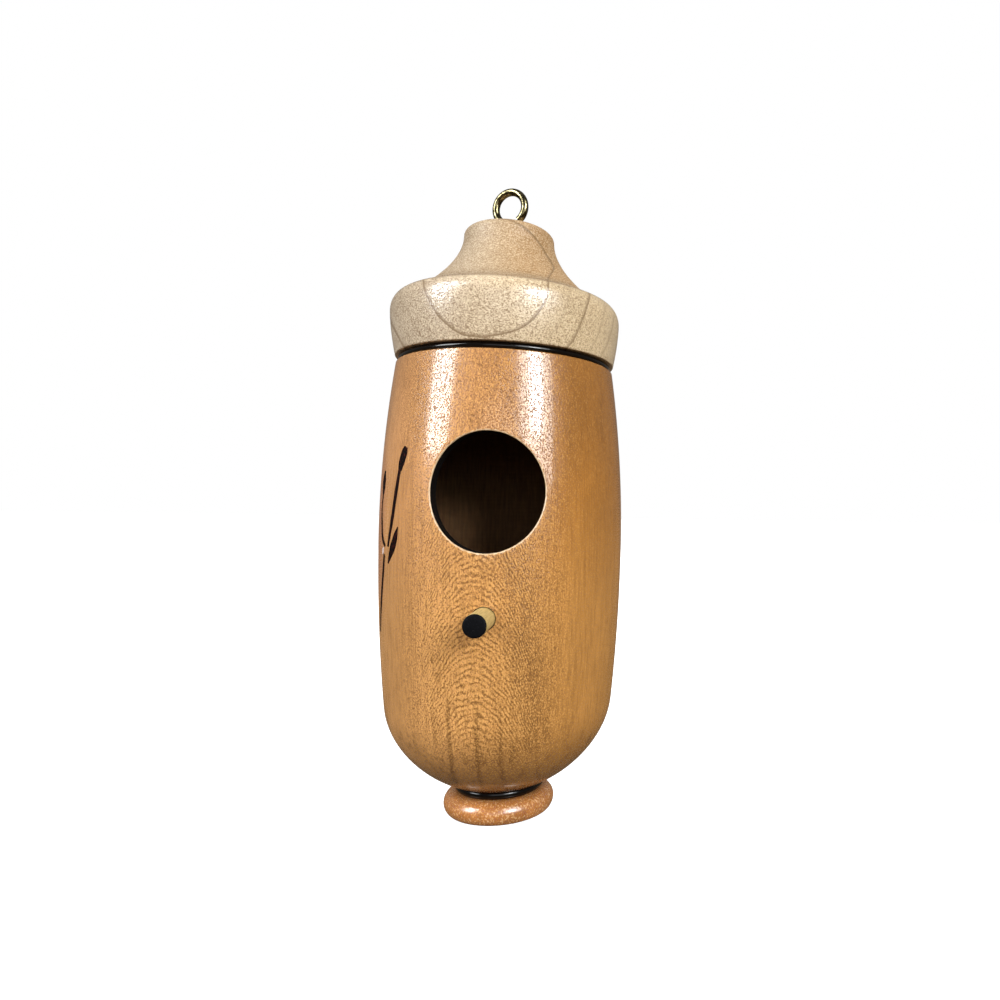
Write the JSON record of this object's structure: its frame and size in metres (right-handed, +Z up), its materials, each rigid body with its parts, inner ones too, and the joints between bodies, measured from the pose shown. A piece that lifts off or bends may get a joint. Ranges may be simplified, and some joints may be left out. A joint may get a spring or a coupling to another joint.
{
  "type": "birdhouse",
  "caption": "Hanging birdhouse turned from wood: round hollow body with an entry hole and dowel perch, lift-off roof with a flared knob, small foot and a brass screw eye.",
  "frame": {"origin": "middle of the foot's flat underside, on the turning axis", "axes": "+Z up along the turning axis, -Y towards the entry hole and perch, +X to the right seen from above with the back up"},
  "size_m": [0.06, 0.0703, 0.1594],
  "materials": {
    "body_wood": "clear gloss lacquer over tan-orange wood",
    "roof_wood": "clear satin lacquer over pale cream wood",
    "roof_ring_black": "ebonised, gloss lacquer",
    "foot_wood": "clear gloss lacquer over orange wood",
    "foot_ring_black": "ebonised, gloss lacquer",
    "perch_dowel": "satin lacquer, black painted tip",
    "eye_brass": "polished, slightly tarnished"
  },
  "bodies": {
    "house": {"body_shell": "body_wood", "roof_ring": "roof_ring_black", "foot": "foot_wood", "foot_ring": "foot_ring_black", "perch": "perch_dowel"},
    "roof_cap": {"roof": "roof_wood", "screw_eye": "eye_brass"}
  },
  "joints": [
    {"name": "roof_lift", "type": "slide", "parent": "house", "child": "roof_cap", "axis": [0, 0, 1], "range_m": [0, 0.05]}
  ]
}
